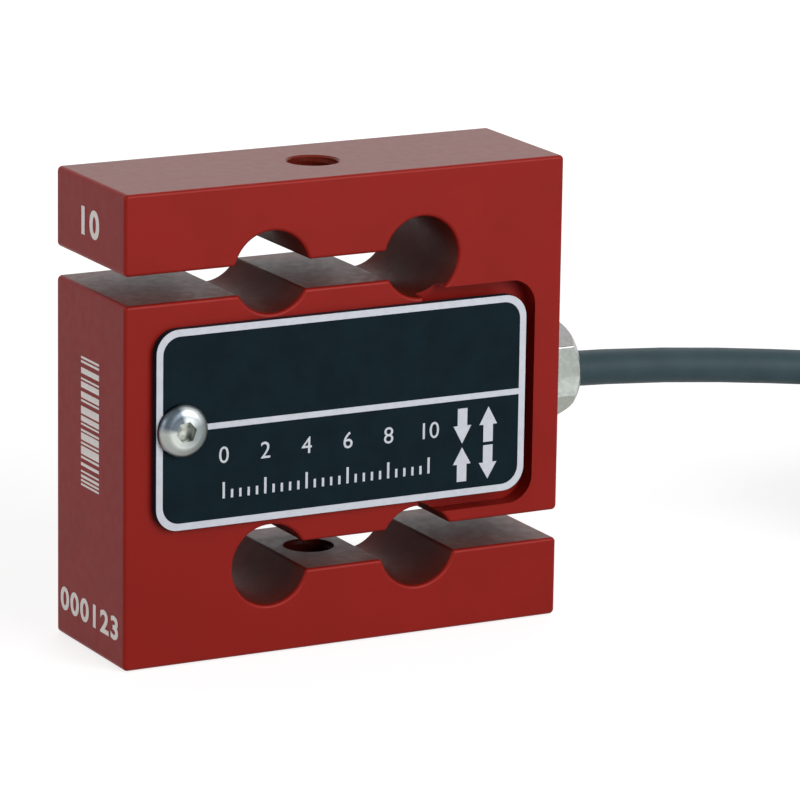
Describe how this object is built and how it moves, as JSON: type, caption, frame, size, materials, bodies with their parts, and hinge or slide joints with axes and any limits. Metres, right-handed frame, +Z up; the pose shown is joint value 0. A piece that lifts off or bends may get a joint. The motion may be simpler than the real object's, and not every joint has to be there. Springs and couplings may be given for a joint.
{
  "type": "force sensor",
  "caption": "S-shaped force sensor in red anodised aluminium, with threaded load arms, slots and round holes that leave thin flexures, a dark cover plate and a cable in a hexagonal gland.",
  "frame": {"origin": "middle of the lower load thread's mouth, on the underside of the block", "axes": "+Z up along the load axis through both threads, -Y to the front with the cover plate, +X to the side where the cable leaves"},
  "size_m": [0.215, 0.035, 0.0492],
  "materials": {
    "anodised_red": "red anodised, satin",
    "plate_dark": "dark printed face with a white border",
    "stainless": "bright stainless steel",
    "nickel": "nickel-plated brass, turned",
    "black_rubber": "matt",
    "gauge_film": "amber film with a metal grid",
    "lead_copper": "enamelled copper",
    "board": "green circuit board",
    "chip": "glazed ceramic",
    "core_white": "insulated core",
    "core_red": "insulated core",
    "core_shield": "sleeved drain wire",
    "core_green": "insulated core",
    "core_black": "insulated core",
    "cable_jacket": "dark grey jacket, satin",
    "tie_plastic": "black band"
  },
  "bodies": {
    "root": {"sensor_body": "anodised_red", "cover_plate": "plate_dark", "cover_screw": "stainless", "gland_body": "nickel", "gland_seal": "black_rubber", "gland_washer": "black_rubber", "gauge_upper_left": "gauge_film", "gauge_upper_right": "gauge_film", "gauge_lower_left": "gauge_film", "gauge_lower_right": "gauge_film", "gauge_lead_upper_left": "lead_copper", "gauge_lead_upper_right": "lead_copper", "gauge_lead_lower_left": "lead_copper", "gauge_lead_lower_right": "lead_copper", "terminal_board": "board", "span_resistor": "chip", "zero_resistor": "chip", "inner_core_white": "core_white", "inner_core_red": "core_red", "inner_core_shield": "core_shield", "inner_core_green": "core_green", "inner_core_black": "core_black", "bare_core_white": "core_white", "bare_core_red": "core_red", "bare_core_shield": "core_shield", "bare_core_green": "core_green", "bare_core_black": "core_black", "cable": "cable_jacket", "cable_hank": "cable_jacket", "hank_tie": "tie_plastic"}
  },
  "joints": []
}
